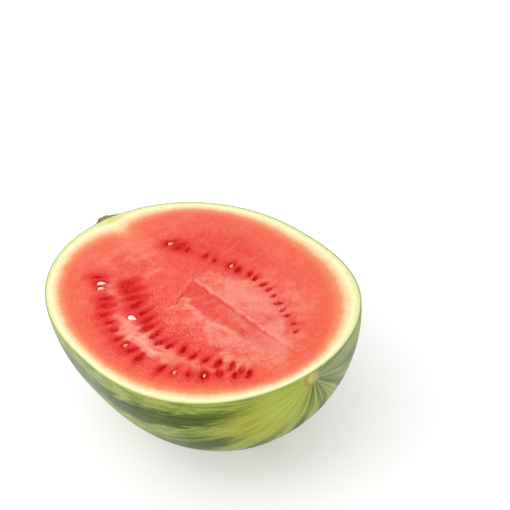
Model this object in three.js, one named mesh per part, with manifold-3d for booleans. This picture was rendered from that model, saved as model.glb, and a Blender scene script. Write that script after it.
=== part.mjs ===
// Half a watermelon, cut lengthwise from stem end to blossom end and lying on its rind.
// Millimetres, +Z up. The fruit's long axis runs along X, with the blossom end at +X.
// The origin is the middle of the base, on the small flat spot that the half rests on.

import * as THREE from "three";
import { mergeVertices } from "three/addons/utils/BufferGeometryUtils.js";
import Module from "manifold-3d";

const wasm = await Module();
wasm.setup();

// The fruit
const HALF_LENGTH = 145; // middle to either end
const HALF_WIDTH = 116; // middle to either side, in the cut
const DEPTH = 118.5; // cut down to the underside, before the flat spot
const FLAT_SAG = 1.0; // how much the flat spot takes off the round underside
const BLOSSOM_DIP = 5; // how far the blossom end lies below the cut
// How blunt the fruit is towards either end: 2 is an ellipse, and more is blunter.
const SIDES = { stem: 2.1, blossom: 2.67 };
const UNDERSIDE = { stem: 1.75, blossom: 2.75 };
const ROUND_FACETS = 88;
const LENGTH_FACETS = 60;

// The stub of stalk at the stem end
const STUB_REACH = 6; // past the end of the fruit
const STUB_ROOT = 13; // sunk into the fruit
const STUB_TIP_RADIUS = 5.5;
const STUB_ROOT_RADIUS = 18;
const STUB_FACETS = 12;

// The tongue of flesh that tore away along the heart, on the blossom side of the middle
const TEAR_DEPTH = 1.4;
const TEAR_FAR_CORNERS = [[-9, 4], [122, 6]]; // stem end first
const TEAR_NEAR_CORNERS = [[3, -19], [122, -11]];
const TEAR_TEETH = 4; // notches in the end nearer the stem
const TEAR_TOOTH = 4; // how deep a notch is

// The hollows that undeveloped seeds leave, each one an oval that points out across its row
const PIT_LENGTH = 4.3; // half lengths of the oval
const PIT_WIDTH = 1.9;
const PIT_DEPTH = 3.0;
const STEM_PIT_SCALE = 1.15; // the hollows shrink along a row
const BLOSSOM_PIT_SCALE = 0.85;
const PIT_SPREAD = 0.25; // how much larger or smaller than its neighbours a hollow may be
const PIT_SHIFT = 1.6; // how far a hollow strays from its place
const PIT_TURN = 0.45; // radians either way
const PIT_AROUND = 10;
const PIT_RINGS = 6;

// Places where hollows run together, and how much longer and wider they are there
const CLUSTERS = [[-37, -41], [-26, -68], [-3, 37], [-60, 22], [97, -53]];
const CLUSTER_REACH = 9;
const CLUSTER_LONGER = 0.2;
const CLUSTER_WIDER = 1.1;

// Pale seed coats, which lie in some of the hollows
const SEED_LENGTH = 4.3; // half lengths of the oval
const SEED_WIDTH = 2.7;
const SEED_THICKNESS = 3.2;
const SEED_BELOW_CUT = 3.4; // the seed's middle, so that its top shows in the hollow and the rest is rooted
const SEED_ROOM = 1.3; // how much wider than its seed a hollow is at least
const SEED_AROUND = 10;
const SEED_RINGS = 6;

// Rows of hollows, evenly spaced along a smooth line through these points of the cut.
// count takes in the hollows of the whole row, of which some are absent. size is theirs beside the usual
// one. seeds gives the size of the seed coat in the hollows that hold one.
const SEED_ROWS = [
  {
    line: [[-66, 21], [-42, 27], [-5, 37.5], [33, 42.5], [74, 33], [102, 22]],
    count: 19,
    absent: [3, 6],
    size: 1.0,
    seeds: { 0: 0.65, 7: 0.6 },
  },
  {
    line: [[-42, -40], [-10, -48], [30, -61], [60, -55], [90, -43], [108, -34]],
    count: 16,
    absent: [],
    size: 1.3,
    seeds: {},
  },
  {
    line: [[-69, -52], [-36, -66], [-11, -77], [23, -83], [72, -74], [98, -51], [114, -34]],
    count: 20,
    absent: [2, 12],
    size: 1.2,
    seeds: { 1: 1.0, 9: 0.55, 14: 0.55, 16: 0.5 },
  },
];
// Two more, one beside the first seed of a row and one between two rows
const LOOSE_SEEDS = [
  { x: -53.5, y: -59, turn: 0.9, seed: 0.85 },
  { x: -2, y: -61, turn: 0.3, seed: 1.1 },
];
const RANDOM_SEED = 20;

const CUT_HEIGHT = DEPTH - FLAT_SAG;
const FAR = 4 * HALF_LENGTH; // larger than the fruit in every direction

// A random number from 0 to 1, the same series each time.
function randomSeries(seed) {
  const modulus = 2147483647;
  const multiplier = 48271;
  let state = seed;
  return () => {
    state = (state * multiplier) % modulus;
    return state / modulus;
  };
}

// A closed three.js geometry as a solid.
function solid(geometry) {
  const bare = geometry.clone();
  bare.deleteAttribute("normal");
  bare.deleteAttribute("uv");
  const merged = mergeVertices(bare, 1e-4);
  const vertProperties = merged.attributes.position.array;
  const triVerts = new Uint32Array(merged.index.array);
  return new wasm.Manifold(new wasm.Mesh({ numProp: 3, vertProperties, triVerts }));
}

// A solid back as a three.js geometry.
function geometryOf(made) {
  const { numProp, vertProperties, triVerts } = made.getMesh();
  const count = vertProperties.length / numProp;
  const places = new Float32Array(count * 3);
  for (let i = 0; i < count; i++) {
    places.set(vertProperties.subarray(i * numProp, i * numProp + 3), i * 3);
  }
  const geometry = new THREE.BufferGeometry();
  geometry.setAttribute("position", new THREE.BufferAttribute(places, 3));
  geometry.setIndex(new THREE.BufferAttribute(new Uint32Array(triVerts), 1));
  geometry.computeVertexNormals();
  return geometry;
}

// The fruit's half width at a share of its half length, from -1 at the stem end to 1 at the blossom end.
// sideways is 1 or -1 at either side and 0 underneath.
function girth(along, sideways) {
  const end = along < 0 ? "stem" : "blossom";
  const power = UNDERSIDE[end] + (SIDES[end] - UNDERSIDE[end]) * sideways * sideways;
  return Math.sqrt(1 - Math.abs(along) ** power);
}

// The whole fruit, with the cut plane at z 0, as a sphere whose points are moved.
function wholeFruit() {
  const geometry = new THREE.SphereGeometry(1, ROUND_FACETS, LENGTH_FACETS).rotateZ(-Math.PI / 2);
  const places = geometry.attributes.position;
  for (let i = 0; i < places.count; i++) {
    const along = Math.max(-1, Math.min(1, places.getX(i)));
    const off = Math.hypot(places.getY(i), places.getZ(i));
    const atEnd = off < 1e-6;
    const sideways = atEnd ? 0 : places.getY(i) / off;
    const upward = atEnd ? 0 : places.getZ(i) / off;
    const size = atEnd ? 0 : girth(along, sideways);
    const dip = (-BLOSSOM_DIP * (1 + along)) / 2;
    const tall = (DEPTH + dip) * size;
    places.setXYZ(i, HALF_LENGTH * along, HALF_WIDTH * size * sideways, dip + tall * upward);
  }
  return solid(geometry);
}

// The stalk's stub: a short cone whose axis is the fruit's.
function stemStub() {
  const length = STUB_REACH + STUB_ROOT;
  const geometry = new THREE.CylinderGeometry(STUB_TIP_RADIUS, STUB_ROOT_RADIUS, length, STUB_FACETS)
    .rotateZ(Math.PI / 2)
    .translate(-HALF_LENGTH - STUB_REACH + length / 2, 0, 0);
  return solid(geometry);
}

// Everything below the cut and above the flat spot.
function keptHalf() {
  const slab = new THREE.BoxGeometry(FAR, FAR, CUT_HEIGHT).translate(0, 0, -CUT_HEIGHT / 2);
  return solid(slab);
}

// The shallow bed of the tear, with one notched end, reaching just above the cut.
function tearBed() {
  const [farStart, farEnd] = TEAR_FAR_CORNERS;
  const [nearStart, nearEnd] = TEAR_NEAR_CORNERS;
  const outline = new THREE.Shape();
  outline.moveTo(...farEnd);
  const steps = 2 * TEAR_TEETH;
  for (let i = 0; i <= steps; i++) {
    const share = i / steps;
    const notch = i % 2 ? TEAR_TOOTH : 0;
    const x = farStart[0] + (nearStart[0] - farStart[0]) * share;
    const y = farStart[1] + (nearStart[1] - farStart[1]) * share;
    outline.lineTo(x + notch, y);
  }
  outline.lineTo(...nearEnd);
  const proud = 1;
  const geometry = new THREE.ExtrudeGeometry(outline, { depth: TEAR_DEPTH + proud, bevelEnabled: false });
  return solid(geometry.translate(0, 0, -TEAR_DEPTH));
}

// How close a place is to where hollows run together, from 0 to 1.
function clustering(x, y) {
  const closest = Math.min(...CLUSTERS.map(([cx, cy]) => Math.hypot(x - cx, y - cy)));
  return Math.exp(-((closest / CLUSTER_REACH) ** 2));
}

// Where the hollows of one row lie, how large they are and which way they point.
function hollowsOf(row, random) {
  const line = new THREE.SplineCurve(row.line.map(([x, y]) => new THREE.Vector2(x, y)));
  const hollows = [];
  for (let i = 0; i < row.count; i++) {
    const share = i / (row.count - 1);
    const middle = line.getPointAt(share);
    const tangent = line.getTangentAt(share);
    const x = middle.x + PIT_SHIFT * (2 * random() - 1);
    const y = middle.y + PIT_SHIFT * (2 * random() - 1);
    const turn = Math.atan2(tangent.x, -tangent.y) + PIT_TURN * (2 * random() - 1);
    const usual = STEM_PIT_SCALE + (BLOSSOM_PIT_SCALE - STEM_PIT_SCALE) * share;
    const scale = row.size * usual * (1 + PIT_SPREAD * (2 * random() - 1));
    const together = clustering(x, y);
    const long = PIT_LENGTH * scale * (1 + CLUSTER_LONGER * together);
    const wide = PIT_WIDTH * scale * (1 + CLUSTER_WIDER * together);
    if (!row.absent.includes(i)) {
      hollows.push({ x, y, turn, long, wide, seed: row.seeds[i] ?? 0 });
    }
  }
  return hollows;
}

// An oval solid with its long way along X before it is turned.
function oval(around, rings, semi, turn, place) {
  const geometry = new THREE.SphereGeometry(1, around, rings)
    .rotateZ(-Math.PI / 2)
    .scale(...semi)
    .rotateZ(turn)
    .translate(...place);
  return solid(geometry);
}

// Moves a geometry so that the middle of the base of its box is the origin.
function standOnOrigin(geometry) {
  geometry.computeBoundingBox();
  const { min, max } = geometry.boundingBox;
  return geometry.translate(-(min.x + max.x) / 2, -(min.y + max.y) / 2, -min.z);
}

function watermelonHalf() {
  const random = randomSeries(RANDOM_SEED);
  const hollows = SEED_ROWS.flatMap((row) => hollowsOf(row, random));
  for (const loose of LOOSE_SEEDS) {
    hollows.push({ ...loose, long: PIT_LENGTH, wide: PIT_WIDTH });
  }
  let half = wholeFruit().add(stemStub()).intersect(keptHalf()).subtract(tearBed());
  for (const { x, y, turn, long, wide, seed } of hollows) {
    const room = SEED_ROOM * seed;
    const semi = [Math.max(long, SEED_LENGTH * room), Math.max(wide, SEED_WIDTH * room), PIT_DEPTH];
    half = half.subtract(oval(PIT_AROUND, PIT_RINGS, semi, turn, [x, y, 0]));
  }
  for (const { x, y, turn, seed } of hollows) {
    if (seed > 0) {
      const semi = [SEED_LENGTH * seed, SEED_WIDTH * seed, SEED_THICKNESS];
      half = half.add(oval(SEED_AROUND, SEED_RINGS, semi, turn, [x, y, -SEED_BELOW_CUT]));
    }
  }
  const flesh = new THREE.MeshStandardMaterial({ color: 0xe8574d, roughness: 0.45, metalness: 0 });
  const mesh = new THREE.Mesh(standOnOrigin(geometryOf(half)), flesh);
  mesh.name = "watermelon_half";
  return mesh;
}

const part = new THREE.Group();
part.add(watermelonHalf());

export default part;
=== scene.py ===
"""Half a watermelon, cut lengthwise and lying on its rind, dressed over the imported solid.

Metres, +Z up. The fruit's long axis runs along X, with the blossom end at +X.
Shapes are worked out in millimetres from the middle of the cut, with z up, so that it is below 0
in the fruit. on_part() takes such points to the part's own frame.
"""

import math
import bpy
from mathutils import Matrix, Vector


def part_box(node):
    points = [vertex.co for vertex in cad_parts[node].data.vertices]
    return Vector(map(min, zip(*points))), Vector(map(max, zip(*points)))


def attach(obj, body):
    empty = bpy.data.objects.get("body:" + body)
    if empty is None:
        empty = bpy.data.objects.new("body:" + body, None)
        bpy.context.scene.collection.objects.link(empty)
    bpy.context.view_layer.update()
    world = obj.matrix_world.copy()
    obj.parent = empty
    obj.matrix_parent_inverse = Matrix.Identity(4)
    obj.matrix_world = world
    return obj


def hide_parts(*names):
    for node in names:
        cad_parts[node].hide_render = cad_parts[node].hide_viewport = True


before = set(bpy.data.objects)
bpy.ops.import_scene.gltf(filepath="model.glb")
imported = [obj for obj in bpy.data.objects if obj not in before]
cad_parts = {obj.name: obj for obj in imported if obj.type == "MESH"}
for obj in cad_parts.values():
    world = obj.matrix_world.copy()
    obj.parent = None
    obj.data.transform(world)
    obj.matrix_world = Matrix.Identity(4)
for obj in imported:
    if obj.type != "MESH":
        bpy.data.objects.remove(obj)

from types import SimpleNamespace

import bmesh
import bpy
import numpy as np
from bpy.props import FloatProperty, FloatVectorProperty, IntProperty, PointerProperty
from mathutils import Matrix, Vector
from mathutils.geometry import delaunay_2d_cdt

bl_info = {
    "name": "Watermelon Half",
    "version": (1, 0, 0),
    "blender": (4, 5, 0),
    "location": "3D View > Sidebar > Melon",
    "description": "Builds a halved watermelon with its flesh, rind, skin, seed coats and stalk",
    "category": "Object",
}

CAD_NODE = "watermelon_half"
CAD_LOW, CAD_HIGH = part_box(CAD_NODE)
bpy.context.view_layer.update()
FLESH, SKIN = 0, 1
MM = 0.001

STUB_REACH = 6.0
HALF_LENGTH = (CAD_HIGH.x - CAD_LOW.x) / MM / 2 - STUB_REACH / 2
HALF_WIDTH = (CAD_HIGH.y - CAD_LOW.y) / MM / 2
CUT_HEIGHT = (CAD_HIGH.z - CAD_LOW.z) / MM
MIDDLE_X = STUB_REACH / 2

# Rows of hollows, evenly spaced along a smooth line through these points of the cut.
# count takes in the hollows of the whole row, of which some are absent. size is theirs beside the usual
# one. seeds gives the size of the seed coat in the hollows that hold one. stain says how red the flesh is
# round the first and the last hollow. blush is the reach of the deeper red along the row, and the share
# of it that is kept at the blossom end.
SEED_ROWS = (
    {
        "line": ((-66, 21), (-42, 27), (-5, 37.5), (33, 42.5), (74, 33), (102, 22)),
        "count": 19,
        "absent": (3, 6),
        "size": 1.0,
        "seeds": {0: 0.65, 7: 0.6},
        "stain": (1.0, 0.45),
        "blush": (5.0, 0.25),
    },
    {
        "line": ((-42, -40), (-10, -48), (30, -61), (60, -55), (90, -43), (108, -34)),
        "count": 16,
        "absent": (),
        "size": 1.3,
        "seeds": {},
        "stain": (1.15, 0.75),
        "blush": (7.0, 0.55),
    },
    {
        "line": ((-69, -52), (-36, -66), (-11, -77), (23, -83), (72, -74), (98, -51), (114, -34)),
        "count": 20,
        "absent": (2, 12),
        "size": 1.2,
        "seeds": {1: 1.0, 9: 0.55, 14: 0.55, 16: 0.5},
        "stain": (1.1, 0.7),
        "blush": (7.5, 0.8),
    },
)
LOOSE_SEEDS = (
    {"x": -53.5, "y": -59.0, "turn": 0.9, "seed": 0.85, "stain": 0.6},
    {"x": -2.0, "y": -61.0, "turn": 0.3, "seed": 1.1, "stain": 0.6},
)
RANDOM_SEED = 20
ROLL_SEED = 5

# Places where hollows run together.
CLUSTERS = ((-37, -41), (-26, -68), (-3, 37), (-60, 22), (97, -53))

# Where the flesh is paler than usual (above 0) or deeper (below 0): its middle, its half length, its half
# width and how much.
PATCHES = (
    (-102, 1, 26, 8, 1.4),
    (44, 26, 38, 14, 1.15),
    (16, 12, 26, 9, 0.3),
    (108, -8, 26, 22, 0.8),
    (50, 54, 46, 13, 0.6),
    (92, 14, 18, 8, 0.5),
    (60, 0, 16, 6, 0.5),
    (-84, -12, 14, 22, 0.3),
    (-30, -4, 20, 9, 0.3),
    (-98, -56, 10, 10, 0.6),
    (-40, -52, 16, 6, 0.7),
    (-12, -63, 14, 6, 0.45),
    (4, -70, 15, 8, 1.5),
    (26, -71, 15, 8.5, 2.2),
    (52, -68, 18, 7, 1.6),
    (76, -60, 16, 6, 0.9),
    (52, -27, 42, 9, 0.5),
    (92, -34, 20, 9, 0.8),
    (-26, 66, 40, 13, -0.8),
    (6, 63, 30, 6, -0.4),
    (-42, 46, 32, 8, -0.5),
    (-24, 32, 32, 13, -0.35),
    (8, -94, 62, 9, -0.3),
    (-60, -28, 14, 10, -0.4),
    (-100, -30, 10, 10, -0.4),
    (80, -66, 26, 12, -0.5),
    (58, -23, 14, 8, 0.5),
    (-104, -9, 12, 10, 0.9),
    (96, -50, 12, 7, 0.6),
)

# Coarse wet flesh beside the torn bed, and green flesh beside the stalk: middle, half length, half width.
GRANULAR_SPOT = (34, -38, 52, 14)
STEM_GREEN_SPOT = (-139, 5, 5, 11)

# The two edges of the torn bed, each a line from its first to its last place, and the bow in the near one:
# its middle, its half length and how far it goes.
TEAR_FAR = ((-9, 4), (122, 6))
TEAR_NEAR = ((3, -19), (122, -11))
NEAR_BOW = (34, 20, -3.6)

# Middle of the yellowish patch of the skin.
OLIVE_PATCH = (135, -42, -26)


def linear(red, green, blue):
    """An sRGB colour of 0 to 255 as linear red, green, blue and 1."""
    out = []
    for value in (red, green, blue):
        share = value / 255
        out.append(share / 12.92 if share <= 0.04045 else ((share + 0.055) / 1.055) ** 2.4)
    return (*out, 1.0)


def colour(name, description, rgb):
    return FloatVectorProperty(
        name=name, description=description, subtype="COLOR", size=4, min=0, max=1, default=linear(*rgb)
    )


def length(name, description, millimetres):
    return FloatProperty(
        name=name,
        description=description,
        default=millimetres * MM,
        min=0,
        subtype="DISTANCE",
        unit="LENGTH",
    )


def angle(name, description, radians):
    return FloatProperty(name=name, description=description, default=radians, subtype="ANGLE")


def wattage(name, description, watts):
    return FloatProperty(name=name, description=description, default=watts, unit="POWER")


def ratio(name, description, value):
    return FloatProperty(name=name, description=description, default=value)


def amount(name, description, value):
    return IntProperty(name=name, description=description, default=value)


class MelonShape(bpy.types.PropertyGroup):
    flat_sag: length("Flat spot", "How much the flat spot takes off the round underside", 1.0)
    blossom_dip: length("Blossom dip", "How far the blossom end lies below the cut", 5.0)
    side_stem: ratio("Side, stem end", "Bluntness of the outline; 2 is an ellipse", 2.1)
    side_blossom: ratio("Side, blossom end", "Bluntness of the outline", 2.67)
    under_stem: ratio("Underside, stem end", "Bluntness of the keel line", 1.75)
    under_blossom: ratio("Underside, blossom end", "Bluntness of the keel line", 2.75)
    around: amount("Facets around", "Facets round the whole fruit", 240)
    along: amount("Facets along", "Facets from end to end", 150)


class MelonCut(bpy.types.PropertyGroup):
    hollow_length: length("Hollow length", "Half the length of a seed hollow", 4.3)
    hollow_width: length("Hollow width", "Half the width of a seed hollow", 1.9)
    hollow_depth: length("Hollow depth", "Depth of a seed hollow", 3.0)
    shrink: ratio("Shrink", "How much smaller hollows are at the blossom end", 0.3)
    spread: ratio("Spread", "How much a hollow's size may differ", 0.25)
    stray: length("Stray", "How far a hollow may lie from its place in the row", 1.6)
    swing: angle("Swing", "How far a hollow may turn", 0.45)
    cluster_reach: length("Cluster reach", "How far round a cluster the hollows run together", 9.0)
    cluster_longer: ratio("Cluster, longer", "How much longer hollows are where they run together", 0.2)
    cluster_wider: ratio("Cluster, wider", "How much wider hollows are where they run together", 1.1)
    room: ratio("Room", "Hollow's width beside the seed coat's", 1.3)
    tear_depth: length("Tear depth", "Depth of the torn bed along the heart", 1.4)
    coarse: length("Plain spacing", "Distance between points of the plain cut", 1.7)
    fine: length("Fine spacing", "Distance between points in hollows and along the tear", 0.7)


class MelonFlesh(bpy.types.PropertyGroup):
    heart: colour("Heart", "Flesh in the middle of the fruit", (227, 74, 61))
    pale: colour("Pale flesh", "Lighter patches of the flesh", (233, 136, 115))
    glassy: colour("Glassy flesh", "The palest flesh, between two seed rows", (240, 176, 150))
    edge: colour("Edge flesh", "Flesh beside the rind", (230, 103, 72))
    deep: colour("Deep flesh", "Flesh round the seed rows", (214, 34, 29))
    hollow: colour("Hollow", "Inside of a seed hollow", (202, 5, 6))
    # On the torn lips this colour is paler crushed flesh with a painted highlight where they catch the light;
    # it also colours the glints and pale specks.
    lip: colour("Torn lip", "Bruised edge of the tear", (238, 146, 124))


class MelonRind(bpy.types.PropertyGroup):
    peach: colour("Peach", "Where the rind fades into the flesh", (230, 140, 96))
    blush: colour("Blush", "Inner rind", (240, 196, 150))
    cream: colour("Cream", "Middle of the rind", (247, 238, 190))
    lime: colour("Lime", "Outer rind", (218, 222, 162))
    line: colour("Skin line", "Edge of the skin in the cut", (148, 160, 88))
    by_stalk: colour("Green by the stalk", "Rind beside the stalk's stub", (204, 206, 92))


class MelonSkin(bpy.types.PropertyGroup):
    dark: colour("Dark stripe", "Dark bands of the skin", (58, 76, 12))
    mid: colour("Stripe edge", "Between dark and light", (108, 128, 30))
    light: colour("Light stripe", "Light bands of the skin", (160, 170, 82))
    olive: colour("Sun-starved patch", "Olive yellow patch near the blossom end", (174, 172, 54))
    # Bloom colour, also used as painted sheen towards the stem end and on the far side of the blossom end.
    bloom_and_sheen: colour("Bloom", "Waxy grey green towards the stem end", (156, 164, 138))
    near_rays: colour("Between rays, near", "Skin round the blossom scar on the near side", (182, 192, 80))
    far_rays: colour("Between rays, far", "Skin round the blossom scar on the far side", (154, 168, 84))
    scar: colour("Blossom scar", "Corky scar at the blossom end", (198, 190, 112))
    scar_ring: colour("Scar ring", "Broken brown ring in the scar", (150, 112, 62))
    stripes: amount("Stripes", "Dark stripes round the whole fruit", 14)
    phase: angle("Stripe phase", "Turns the stripes round", 0.94)


class MelonSeeds(bpy.types.PropertyGroup):
    seed_length: length("Seed length", "Half the length of a seed coat", 4.2)
    seed_width: length("Seed width", "Half the width of a seed coat", 2.6)
    seed_thickness: length("Seed thickness", "Half the thickness of a seed coat", 1.6)
    cover: length("Cover", "How far the top of a seed coat lies below the cut", 0.15)
    coat: colour("Seed coat", "Whole undeveloped seed coat", (250, 232, 206))
    sunken: colour("Sunken coat", "Small seed coat, half grown over", (240, 150, 128))


class MelonStalk(bpy.types.PropertyGroup):
    run: length("Length", "From the end of the stub to where it ends inside the rind", 9.0)
    neck: length("Neck", "Radius at the end of the stub", 5.0)
    flare: length("Flare", "How much wider the stub is in the rind", 9.5)
    lean: length("Lean", "How far the stub leans to the far side", 2.5)
    groove: colour("Grooves", "Dark of the dried stalk", (84, 92, 38))
    ridge: colour("Ridges", "Light of the dried stalk", (144, 146, 74))


class MelonStage(bpy.types.PropertyGroup):
    sky: ratio("Room light", "Strength of the even light", 0.86)
    key: wattage("Key light", "Power of the large light overhead", 7.5)
    side: wattage("Side light", "Power of the low light at the left", 4.5)
    table: ratio("Light table", "How much the floor glows, as a lit table does", 0.38)
    focal: ratio("Focal length", "Lens in millimetres on a 36 mm sensor", 60.0)


# Shape


def random_series(seed):
    """A function that gives the same series of numbers from 0 to 1 each time."""
    state = seed

    def following():
        nonlocal state
        state = (state * 48271) % 2147483647
        return state / 2147483647

    return following


def wobble(x, y, size, seed, waves=7):
    """Smooth irregular values from about -1 to 1 over the plane, with features of that size."""
    draw = random_series(seed + 11)
    total = np.zeros_like(np.asarray(x, float))
    for _ in range(waves):
        heading = 2 * math.pi * draw()
        pace = 2 * math.pi / (size * (0.6 + 0.9 * draw()))
        total += np.sin((x * math.cos(heading) + y * math.sin(heading)) * pace + 2 * math.pi * draw())
    return total / math.sqrt(waves)


def smooth(low, high, value):
    share = np.clip((value - low) / (high - low), 0, 1)
    return share * share * (3 - 2 * share)


def hump(value, middle, reach):
    """1 at the middle, and smoothly down to 0 beyond the reach on both sides."""
    return np.exp(-(((value - middle) / reach) ** 2))


def spot(x, y, place):
    """How close each point is to the middle of an oval patch, from 0 to 1."""
    middle_x, middle_y, half_length, half_width = place
    return np.exp(-(((x - middle_x) / half_length) ** 2) - ((y - middle_y) / half_width) ** 2)


def on_part(points):
    """Cut-plane millimetres as metres in the part's frame."""
    return (np.asarray(points, float) + (MIDDLE_X, 0, CUT_HEIGHT)) * MM


def girth(shape, along, sideways):
    """Half width at a share of the half length. sideways is 1 at either side and 0 underneath."""
    share = sideways * sideways
    stem = shape.under_stem + (shape.side_stem - shape.under_stem) * share
    blossom = shape.under_blossom + (shape.side_blossom - shape.under_blossom) * share
    power = np.where(along < 0, stem, blossom)
    return np.sqrt(np.clip(1 - np.abs(along) ** power, 0, None))


def whole_fruit(shape):
    """Vertices in cut-plane millimetres and faces of the whole fruit."""
    depth = CUT_HEIGHT + shape.flat_sag / MM
    along = np.cos(np.linspace(0, math.pi, shape.along + 1))[1:-1][::-1]
    turn = np.arange(shape.around) * 2 * math.pi / shape.around
    a, t = np.meshgrid(along, turn, indexing="ij")
    sideways, upward = np.sin(t), -np.cos(t)
    size = girth(shape, a, sideways)
    dip = -shape.blossom_dip / MM * (1 + a) / 2
    x, y, z = HALF_LENGTH * a, HALF_WIDTH * size * sideways, dip + (depth + dip) * size * upward
    points = np.stack([x, y, z], -1).reshape(-1, 3)
    ends = [[-HALF_LENGTH, 0, 0], [HALF_LENGTH, 0, -shape.blossom_dip / MM]]
    points = np.concatenate([points, ends])
    rings, count = len(along), shape.around
    faces = []
    for i in range(rings - 1):
        for j in range(count):
            k = (j + 1) % count
            faces.append((i * count + j, i * count + k, (i + 1) * count + k, (i + 1) * count + j))
    stem, blossom = len(points) - 2, len(points) - 1
    for j in range(count):
        k = (j + 1) % count
        faces.append((stem, k, j))
        faces.append(((rings - 1) * count + j, (rings - 1) * count + k, blossom))
    return points, faces


def spline(points, count):
    """Evenly spaced places and headings on a smooth line through the points."""
    p = [np.array(q, float) for q in points]
    dense = []
    for i in range(len(p) - 1):
        before, after = p[max(i - 1, 0)], p[min(i + 2, len(p) - 1)]
        for t in np.linspace(0, 1, 60, endpoint=False):
            out, back = (p[i + 1] - before) / 2, (after - p[i]) / 2
            cubic = (2 * p[i] - 2 * p[i + 1] + out + back) * t**3
            square = (-3 * p[i] + 3 * p[i + 1] - 2 * out - back) * t**2
            dense.append(cubic + square + out * t + p[i])
    dense = np.array(dense + [p[-1]])
    step = np.linalg.norm(np.diff(dense, axis=0), axis=1)
    run = np.concatenate([[0], np.cumsum(step)])

    def place_at(at):
        return np.array([np.interp(at, run, dense[:, k]) for k in (0, 1)])

    stops = [share * run[-1] for share in np.linspace(0, 1, count)]
    headings = [place_at(at + 0.5) - place_at(at - 0.5) for at in stops]
    return [place_at(at) for at in stops], headings, dense


def clustering(x, y, reach):
    """How close a place is to where hollows run together, from 0 to 1."""
    closest = min(math.hypot(x - cx, y - cy) for cx, cy in CLUSTERS)
    return math.exp(-((closest / reach) ** 2))


def seed_hollows(cut, seeds):
    """Every hollow: its place, heading and half sizes, its seed coat's size and how red it is around."""
    draw = random_series(RANDOM_SEED)
    stray, reach = cut.stray / MM, cut.cluster_reach / MM
    hollows = []
    for row in SEED_ROWS:
        places, headings, _ = spline(row["line"], row["count"])
        for i, (place, heading) in enumerate(zip(places, headings)):
            share = i / (row["count"] - 1)
            x = place[0] + stray * (2 * draw() - 1)
            y = place[1] + stray * (2 * draw() - 1)
            turn = math.atan2(heading[0], -heading[1]) + cut.swing * (2 * draw() - 1)
            usual = 1 + cut.shrink * (0.5 - share)
            scale = row["size"] * usual * (1 + cut.spread * (2 * draw() - 1))
            together = clustering(x, y, reach)
            hollow = {
                "x": x,
                "y": y,
                "turn": turn,
                "long": cut.hollow_length / MM * scale * (1 + cut.cluster_longer * together),
                "wide": cut.hollow_width / MM * scale * (1 + cut.cluster_wider * together),
                "seed": row["seeds"].get(i, 0),
                "stain": row["stain"][0] * (1 - share) + row["stain"][1] * share + 0.25 * together,
            }
            if i not in row["absent"]:
                hollows.append(hollow)
    for loose in LOOSE_SEEDS:
        hollows.append({**loose, "long": cut.hollow_length / MM, "wide": cut.hollow_width / MM})
    for hollow in hollows:
        room = cut.room * hollow["seed"]
        hollow["long"] = max(hollow["long"], seeds.seed_length / MM * room)
        hollow["wide"] = max(hollow["wide"], seeds.seed_width / MM * room)
    return hollows


def along_line(x, line):
    """The y at x on the line through two places."""
    (first_x, first_y), (last_x, last_y) = line
    return first_y + (last_y - first_y) * (x - first_x) / (last_x - first_x)


def tear_edges(x):
    """Far and near edge of the torn bed at x, both uneven."""
    far = along_line(x, TEAR_FAR) + 0.7 * wobble(x, 0 * x, 16, 3) + 0.3 * wobble(x, 0 * x, 5, 4)
    middle, half_length, reach = NEAR_BOW
    bow = reach * hump(x, middle, half_length)
    near = along_line(x, TEAR_NEAR) + bow + 1.6 * wobble(x, 0 * x, 17, 5) + 0.8 * wobble(x, 0 * x, 6, 6)
    return far, near


def tear_start(y):
    """The x at which the torn bed starts, along an uneven crack."""
    return -8 - 0.58 * (y - 4) + 1.6 * wobble(0 * y, y, 9, 7) + 0.6 * wobble(0 * y, y, 4, 12)


def tear_bed(x, y):
    """How deep each point is in the torn bed, how much on its lip, which is paler crushed flesh with a
    painted highlight, and how much in its crack and the painted shadow under the far lip, from 0 to 1.
    """
    far, near = tear_edges(x)
    start = tear_start(y)
    begun, ended = smooth(-0.4, 2.2, x - start), smooth(126, 84, x)
    inside = begun * ended * smooth(-0.2, 1.3, far - y) * smooth(-0.5, 5.5, y - near)
    reach = smooth(0, 4, x - start) * smooth(130, 104, x)
    # Painted highlight: the lips are lighter where they catch the light, over paler crushed flesh.
    far_lip = hump(y - far, 1.1, 0.9) * reach
    near_lip = hump(y - near, 0.4, 3.2) * reach * (0.3 + 0.9 * smooth(100, 50, x))
    start_lip = hump(x - start, -2.0, 1.5) * smooth(12, 2, y) * smooth(-30, -20, y)
    open_parts = smooth(-29, -25, y) * smooth(-14, -19, y) + 0.7 * smooth(0, 5, y) * smooth(16, 11, y)
    closed_part = 0.25 * smooth(-20, -16, y) * smooth(6, 2, y)
    # Painted shadow: dark lines along the broken edge where the tear starts, over a shallow groove.
    crack = hump(x - start, -0.2, 1.1) * (closed_part + open_parts)
    # Painted shadow under the far lip of the torn bed.
    crack += 0.45 * hump(y - far, -1.3, 1.0) * reach * smooth(112, 80, x)
    return inside, np.clip(far_lip + near_lip + 0.5 * start_lip, 0, 1), np.clip(crack, 0, 1)


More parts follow.
